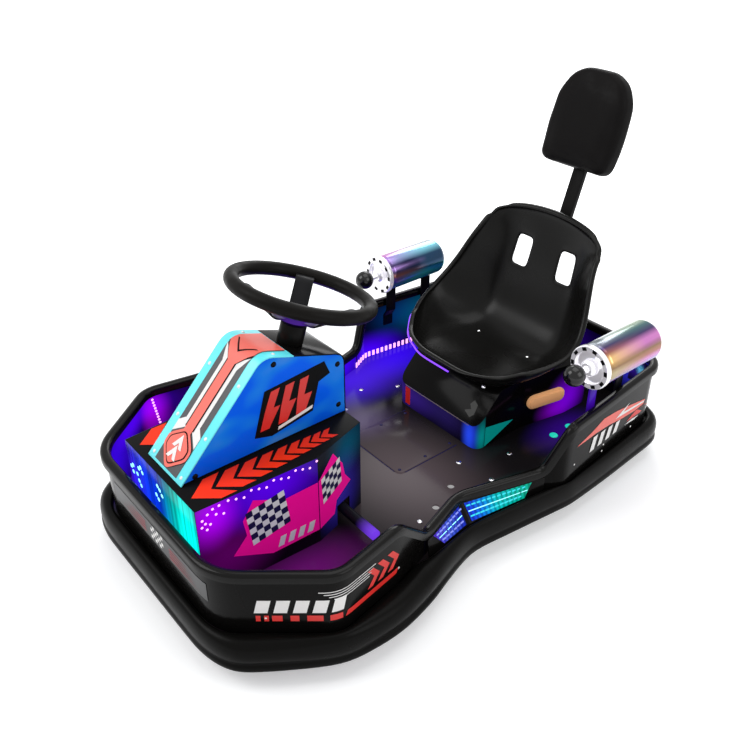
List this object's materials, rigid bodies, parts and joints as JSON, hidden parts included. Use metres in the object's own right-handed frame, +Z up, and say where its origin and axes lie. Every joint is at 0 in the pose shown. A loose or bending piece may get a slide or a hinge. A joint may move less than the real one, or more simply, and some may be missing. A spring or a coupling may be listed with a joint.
{
  "type": "children's battery bumper car",
  "caption": "Small fairground bumper car: steel tub in a rubber ring bumper, nose console with steering wheel, bucket seat with headrest, side bottles.",
  "frame": {"origin": "on the ground under the middle of the car", "axes": "+Z up, nose towards -Y, the driver's left is +X"},
  "size_m": [0.8586, 1.3672, 0.9325],
  "materials": {
    "floor_steel": "gloss",
    "frame_black": "satin",
    "bumper_rubber": "satin",
    "tub_paint": "gloss",
    "lamp_lens": "gloss",
    "edge_rubber": "satin",
    "console_paint": "gloss",
    "panel_blue": "gloss",
    "cover_red": "gloss",
    "dash_black": "satin",
    "pedal_metal": "satin",
    "battery_case": "matte",
    "seat_plastic": "gloss",
    "pad_leather": "satin",
    "bottle_chrome": "gloss",
    "collar_chrome": "gloss",
    "knob_plastic": "gloss",
    "amber_lens": "gloss",
    "bracket_steel": "satin",
    "rim_rubber": "satin",
    "spider_metal": "satin",
    "tyre": "matte",
    "hub_metal": "satin"
  },
  "bodies": {
    "chassis": {"floor_pan": "floor_steel", "chassis_frame": "frame_black", "bumper_band": "frame_black", "bumper": "bumper_rubber", "front_wall": "tub_paint", "rear_wall": "tub_paint", "sill_inner": "tub_paint", "sill_panels": "tub_paint", "sill_lenses": "lamp_lens", "front_trim": "edge_rubber", "rear_trim": "edge_rubber", "sill_trim": "edge_rubber", "console_base": "console_paint", "fork_bearing": "frame_black", "console_panels": "panel_blue", "console_cover": "cover_red", "console_back": "dash_black", "column_boss": "dash_black", "pedals": "pedal_metal", "floor_hatch": "floor_steel", "battery_box": "console_paint", "battery": "battery_case", "seat_shell": "seat_plastic", "headrest_post": "frame_black", "headrest_pad": "pad_leather", "bottles": "bottle_chrome", "bottle_collars": "collar_chrome", "bottle_knobs": "knob_plastic", "bottle_brackets": "frame_black", "marker_lamps": "amber_lens", "rear_brackets": "bracket_steel"},
    "steering_wheel": {"steering_rim": "rim_rubber", "steering_spider": "spider_metal"},
    "fork": {"fork": "bracket_steel"},
    "drive_wheel": {"drive_tyre": "tyre", "drive_hub": "hub_metal"},
    "rear_wheel_left": {"rear_tyre_left": "tyre", "rear_hub_left": "hub_metal"},
    "rear_wheel_right": {"rear_tyre_right": "tyre", "rear_hub_right": "hub_metal"}
  },
  "joints": [
    {"name": "fork_steer", "type": "hinge", "parent": "chassis", "child": "fork", "pos_m": [0, -0.4925, 0.2], "axis": [0, 0, 1], "range_deg": [-90, 90]},
    {"name": "steering_turn", "type": "hinge", "parent": "chassis", "child": "steering_wheel", "pos_m": [0, -0.2936, 0.51202], "axis": [0, 0.3256, 0.9455], "range_deg": [-90, 90]},
    {"name": "drive_wheel_roll", "type": "hinge", "parent": "fork", "child": "drive_wheel", "pos_m": [0, -0.4925, 0.09], "axis": [1, 0, 0], "continuous": true},
    {"name": "rear_left_roll", "type": "hinge", "parent": "chassis", "child": "rear_wheel_left", "pos_m": [0.262, 0.4125, 0.04], "axis": [1, 0, 0], "continuous": true},
    {"name": "rear_right_roll", "type": "hinge", "parent": "chassis", "child": "rear_wheel_right", "pos_m": [-0.262, 0.4125, 0.04], "axis": [1, 0, 0], "continuous": true}
  ],
  "couplings": [
    {"joint": "steering_turn", "follows": "fork_steer", "ratio": 1}
  ]
}
